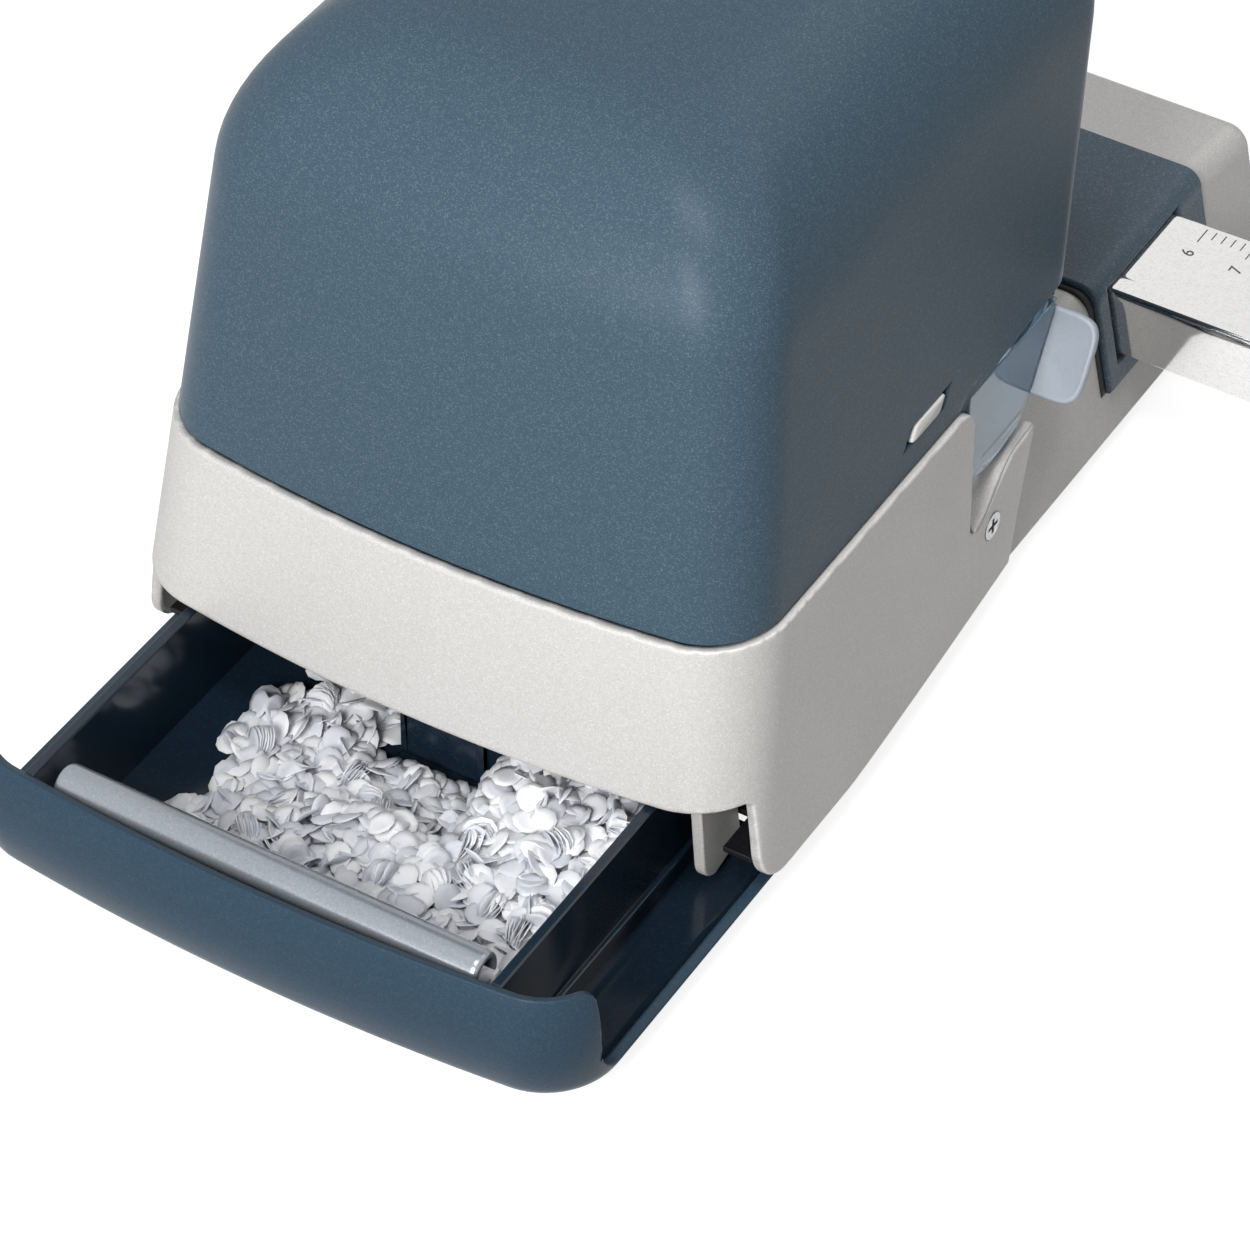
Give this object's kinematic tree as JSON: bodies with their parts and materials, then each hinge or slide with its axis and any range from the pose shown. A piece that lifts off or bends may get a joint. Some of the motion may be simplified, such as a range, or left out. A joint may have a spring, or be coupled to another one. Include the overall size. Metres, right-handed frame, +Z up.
{
  "type": "electric hole punch",
  "caption": "Electric two-hole paper punch with its chip drawer drawn out, sliding paper guide, geared motor drive, punch yoke and clear throat guard.",
  "frame": {"origin": "middle of the footprint on the table, drawer drawn out and paper guide drawn out as in the picture", "axes": "+Z up, +Y from the chip drawer towards the paper side, +X towards the paper guide's end"},
  "size_m": [0.16, 0.2682, 0.1378],
  "materials": {
    "cover_blue": "satin metallic paint with a fine sparkle",
    "shell_silver": "satin warm silver paint",
    "tab_silver": "satin light silver",
    "drawer_blue": "satin dark blue moulded plastic",
    "grip_blue": "semi-gloss dark blue moulded plastic",
    "paper": "loose white paper chips",
    "clear_blue": "clear bluish moulded plastic, frosted at its ears",
    "bar_chrome": "bright chromed sheet",
    "steel": "ground steel",
    "cast": "machined casting",
    "brass": "turned brass",
    "black_plastic": "matte black moulded plastic",
    "white_plastic": "natural acetal",
    "rubber_grey": "translucent grey rubber",
    "board_green": "green circuit board",
    "light_lens": "tinted lens"
  },
  "bodies": {
    "base": {"base_plate": "black_plastic", "base_screws": "steel", "base_table": "shell_silver", "board_parts": "black_plastic", "board_standoffs": "brass", "body_shell": "shell_silver", "button_switch": "black_plastic", "circuit_board": "board_green", "column_bridge": "steel", "control_board": "board_green", "cover_clips": "tab_silver", "die_bushings": "steel", "drawer_latch": "steel", "drawer_rail": "black_plastic", "gear_plate_inner": "steel", "gear_plate_outer": "steel", "guide_bushings": "brass", "guide_columns": "steel", "guide_detent": "white_plastic", "guide_track": "black_plastic", "motor": "steel", "motor_screws": "steel", "paper_stops": "black_plastic", "paper_switch": "black_plastic", "plate_pillars": "steel", "power_inlet": "black_plastic", "power_light": "light_lens", "punch_frame": "cast", "rocker_bezel": "black_plastic", "rocker_pin": "steel", "rubber_feet": "rubber_grey", "ruler_housing": "cover_blue", "sensor_pin": "steel", "shaft_bearings": "brass", "shaft_bracket": "steel", "shell_screws": "steel", "throat_guard": "clear_blue", "top_cover": "cover_blue", "transfer_axle": "steel"},
    "drawer": {"chip_drawer": "drawer_blue", "drawer_grip": "grip_blue", "paper_chips": "paper"},
    "guide": {"guide_bar": "bar_chrome", "guide_stop": "drawer_blue", "guide_stop_screw": "steel"},
    "yoke": {"punch_yoke": "steel", "punch_pin_left": "steel", "punch_pin_right": "steel", "punch_set_screws": "steel"},
    "drive": {"drive_shaft": "steel", "rack_pinion": "steel", "final_gear": "white_plastic"},
    "transfer": {"transfer_gear": "white_plastic"},
    "rotor": {"motor_shaft": "steel", "motor_pinion": "brass"},
    "lever": {"sensor_lever": "white_plastic"},
    "rocker": {"power_rocker": "black_plastic"},
    "button": {"reverse_button": "drawer_blue"}
  },
  "joints": [
    {"name": "drawer_slide", "type": "slide", "parent": "base", "child": "drawer", "axis": [0, -1, 0], "range_m": [-0.0478, 0.01]},
    {"name": "guide_slide", "type": "slide", "parent": "base", "child": "guide", "axis": [1, 0, 0], "range_m": [-0.0225, 0.0625]},
    {"name": "punch_press", "type": "slide", "parent": "base", "child": "yoke", "axis": [0, 0, -1], "range_m": [0, 0.01]},
    {"name": "drive_turn", "type": "hinge", "parent": "base", "child": "drive", "pos_m": [-0.012, 0.0041, 0.09], "axis": [1, 0, 0], "range_deg": [-71.7, 0]},
    {"name": "transfer_turn", "type": "hinge", "parent": "base", "child": "transfer", "pos_m": [-0.012, -0.0219, 0.09], "axis": [1, 0, 0], "range_deg": [0, 238.8]},
    {"name": "motor_turn", "type": "hinge", "parent": "base", "child": "rotor", "pos_m": [-0.012, -0.0405, 0.09], "axis": [1, 0, 0], "range_deg": [-818.6, 0]},
    {"name": "sensor_press", "type": "hinge", "parent": "base", "child": "lever", "pos_m": [-0.012, -0.0069, 0.042], "axis": [1, 0, 0], "range_deg": [-10, 0], "stiffness_Nm_per_rad": 0.004, "springref_deg": 5.73},
    {"name": "power_rock", "type": "hinge", "parent": "base", "child": "rocker", "pos_m": [-0.02, 0.1291, 0.018], "axis": [1, 0, 0], "range_deg": [-7, 7]},
    {"name": "reverse_press", "type": "slide", "parent": "base", "child": "button", "axis": [0, -1, 0], "range_m": [0, 0.002], "stiffness_N_per_m": 400, "springref_m": -0.0005}
  ],
  "couplings": [
    {"joint": "drive_turn", "follows": "punch_press", "rad_per_m": -125},
    {"joint": "transfer_turn", "follows": "punch_press", "rad_per_m": 416.67},
    {"joint": "motor_turn", "follows": "punch_press", "rad_per_m": -1428.6}
  ]
}
